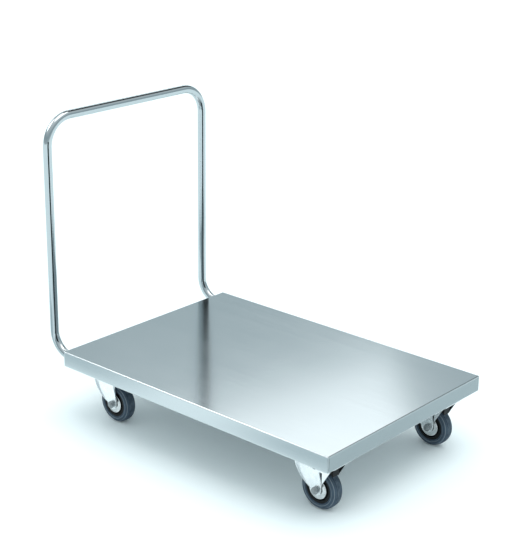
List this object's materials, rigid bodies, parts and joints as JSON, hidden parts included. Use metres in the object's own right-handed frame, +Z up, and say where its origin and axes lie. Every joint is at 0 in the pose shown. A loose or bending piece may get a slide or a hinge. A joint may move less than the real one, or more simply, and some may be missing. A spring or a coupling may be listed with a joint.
{
  "type": "flatbed platform truck",
  "caption": "Flatbed platform truck: a folded steel deck on swivel casters with rubber tyres, pushed by a bent tube handle; the casters at the far end have foot brakes.",
  "frame": {"origin": "on the floor, under the middle of the whole truck's box", "axes": "+X to the front end of the deck, away from the handle; +Y to the left; +Z up"},
  "size_m": [1.1354, 0.725, 0.9518],
  "materials": {
    "deck_steel": "satin stainless sheet",
    "handle_tube": "polished stainless tube",
    "zinc_plate": "bright zinc plate",
    "fastener_steel": "plated steel",
    "tyre_rubber": "blue-grey rubber",
    "black_nylon": "black moulded nylon"
  },
  "bodies": {
    "chassis": {"deck_tray": "deck_steel", "push_handle": "handle_tube", "handle_backing_plate_right": "deck_steel", "handle_backing_plate_left": "deck_steel", "rear_cross_member": "deck_steel", "front_cross_member": "deck_steel", "right_stiffener": "deck_steel", "left_stiffener": "deck_steel", "rear_right_top_plate": "zinc_plate", "rear_right_kingpin": "fastener_steel", "rear_left_top_plate": "zinc_plate", "rear_left_kingpin": "fastener_steel", "front_right_top_plate": "zinc_plate", "front_right_kingpin": "fastener_steel", "front_left_top_plate": "zinc_plate", "front_left_kingpin": "fastener_steel"},
    "rear_right_caster": {"rear_right_fork": "zinc_plate", "rear_right_swivel_bearing": "fastener_steel", "rear_right_axle_bolt": "fastener_steel", "rear_right_axle_nut": "fastener_steel", "rear_right_wheel_bearing": "fastener_steel"},
    "rear_right_wheel": {"rear_right_tyre": "tyre_rubber", "rear_right_rim": "black_nylon", "rear_right_hub_cover_right": "zinc_plate", "rear_right_hub_cover_left": "zinc_plate"},
    "rear_left_caster": {"rear_left_fork": "zinc_plate", "rear_left_swivel_bearing": "fastener_steel", "rear_left_axle_bolt": "fastener_steel", "rear_left_axle_nut": "fastener_steel", "rear_left_wheel_bearing": "fastener_steel"},
    "rear_left_wheel": {"rear_left_tyre": "tyre_rubber", "rear_left_rim": "black_nylon", "rear_left_hub_cover_right": "zinc_plate", "rear_left_hub_cover_left": "zinc_plate"},
    "front_right_caster": {"front_right_fork": "zinc_plate", "front_right_swivel_bearing": "fastener_steel", "front_right_axle_bolt": "fastener_steel", "front_right_axle_nut": "fastener_steel", "front_right_wheel_bearing": "fastener_steel", "front_right_brake_pin": "fastener_steel"},
    "front_right_wheel": {"front_right_tyre": "tyre_rubber", "front_right_rim": "black_nylon", "front_right_hub_cover_right": "zinc_plate", "front_right_hub_cover_left": "zinc_plate"},
    "front_right_brake": {"front_right_brake_lever": "zinc_plate", "front_right_brake_block": "black_nylon"},
    "front_left_caster": {"front_left_fork": "zinc_plate", "front_left_swivel_bearing": "fastener_steel", "front_left_axle_bolt": "fastener_steel", "front_left_axle_nut": "fastener_steel", "front_left_wheel_bearing": "fastener_steel", "front_left_brake_pin": "fastener_steel"},
    "front_left_wheel": {"front_left_tyre": "tyre_rubber", "front_left_rim": "black_nylon", "front_left_hub_cover_right": "zinc_plate", "front_left_hub_cover_left": "zinc_plate"},
    "front_left_brake": {"front_left_brake_lever": "zinc_plate", "front_left_brake_block": "black_nylon"}
  },
  "joints": [
    {"name": "rear_right_swivel", "type": "hinge", "parent": "chassis", "child": "rear_right_caster", "pos_m": [-0.38025, -0.2665, 0.15], "axis": [0, 0, 1], "continuous": true},
    {"name": "rear_right_roll", "type": "hinge", "parent": "rear_right_caster", "child": "rear_right_wheel", "pos_m": [-0.34225, -0.2665, 0.0625], "axis": [0, 1, 0], "continuous": true},
    {"name": "rear_left_swivel", "type": "hinge", "parent": "chassis", "child": "rear_left_caster", "pos_m": [-0.38025, 0.2665, 0.15], "axis": [0, 0, 1], "continuous": true},
    {"name": "rear_left_roll", "type": "hinge", "parent": "rear_left_caster", "child": "rear_left_wheel", "pos_m": [-0.34225, 0.2665, 0.0625], "axis": [0, 1, 0], "continuous": true},
    {"name": "front_right_swivel", "type": "hinge", "parent": "chassis", "child": "front_right_caster", "pos_m": [0.43675, -0.2665, 0.15], "axis": [0, 0, 1], "continuous": true},
    {"name": "front_right_roll", "type": "hinge", "parent": "front_right_caster", "child": "front_right_wheel", "pos_m": [0.47475, -0.2665, 0.0625], "axis": [0, 1, 0], "continuous": true},
    {"name": "front_right_brake_pedal", "type": "hinge", "parent": "front_right_caster", "child": "front_right_brake", "pos_m": [0.47475, -0.2665, 0.136], "axis": [0, 1, 0], "range_deg": [0, 6]},
    {"name": "front_left_swivel", "type": "hinge", "parent": "chassis", "child": "front_left_caster", "pos_m": [0.43675, 0.2665, 0.15], "axis": [0, 0, 1], "continuous": true},
    {"name": "front_left_roll", "type": "hinge", "parent": "front_left_caster", "child": "front_left_wheel", "pos_m": [0.47475, 0.2665, 0.0625], "axis": [0, 1, 0], "continuous": true},
    {"name": "front_left_brake_pedal", "type": "hinge", "parent": "front_left_caster", "child": "front_left_brake", "pos_m": [0.47475, 0.2665, 0.136], "axis": [0, 1, 0], "range_deg": [0, 6]}
  ]
}
